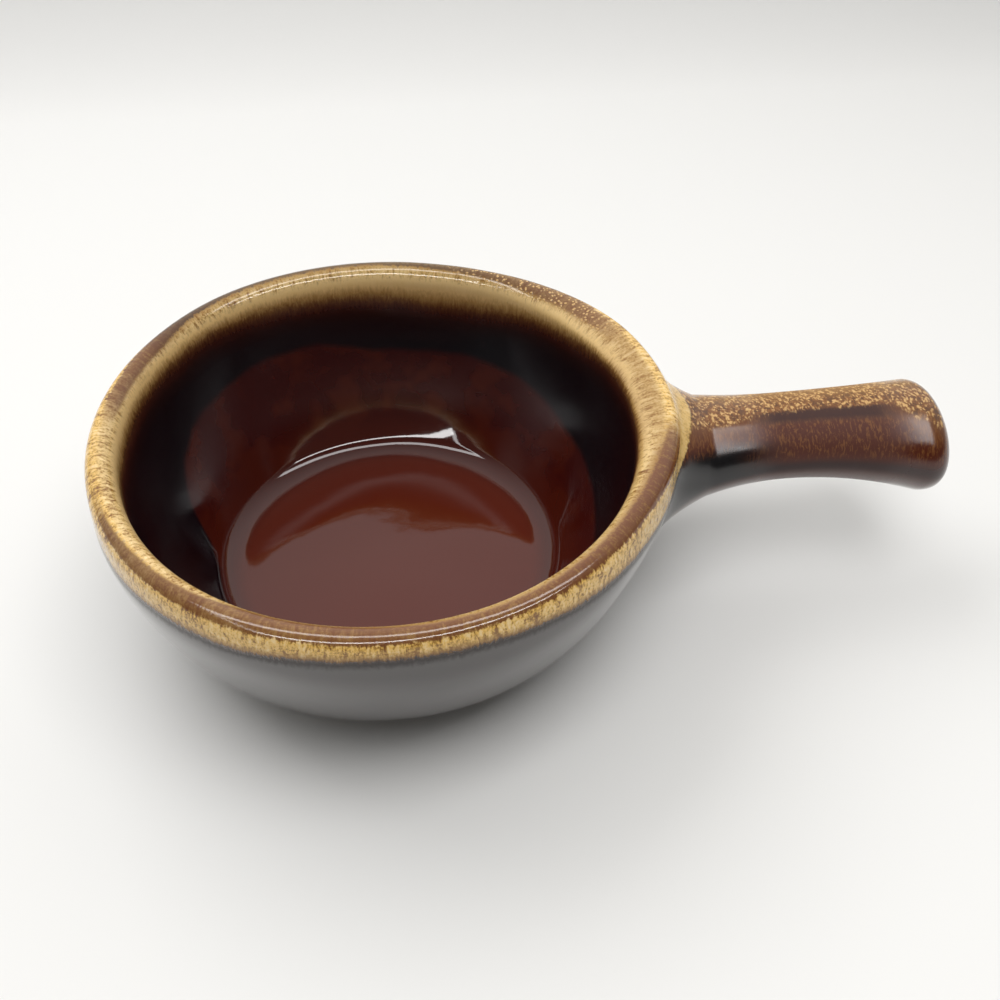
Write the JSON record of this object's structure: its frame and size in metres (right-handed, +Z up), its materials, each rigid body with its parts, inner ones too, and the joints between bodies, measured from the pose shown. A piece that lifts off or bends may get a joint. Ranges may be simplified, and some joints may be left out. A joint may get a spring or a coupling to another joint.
{
  "type": "handled soup bowl",
  "caption": "Round stoneware soup bowl with a rolled rim, a low foot ring and one level stick handle, under a brown glaze with a tan drip at the rim.",
  "frame": {"origin": "centre of the foot ring, on the surface that the bowl stands on", "axes": "+Z up through the bowl's mouth, +X from the bowl's centre along the handle"},
  "size_m": [0.2098, 0.1342, 0.0582],
  "materials": {
    "stoneware": "bare fired stoneware, matt",
    "slip": "bare fired slip, matt",
    "liner_glaze": "glossy mahogany brown glaze",
    "brown_glaze": "glossy dark brown glaze",
    "drip_glaze": "glossy straw and brown mottled drip glaze",
    "handle_glaze": "glossy maroon brown glaze with golden specks along the top"
  },
  "bodies": {
    "root": {"bowl_body": "stoneware", "handle": "stoneware", "luting_slip": "slip", "liner_glaze": "liner_glaze", "wall_glaze": "brown_glaze", "rim_glaze": "drip_glaze", "handle_glaze": "handle_glaze", "foot_well_glaze": "brown_glaze"}
  },
  "joints": []
}
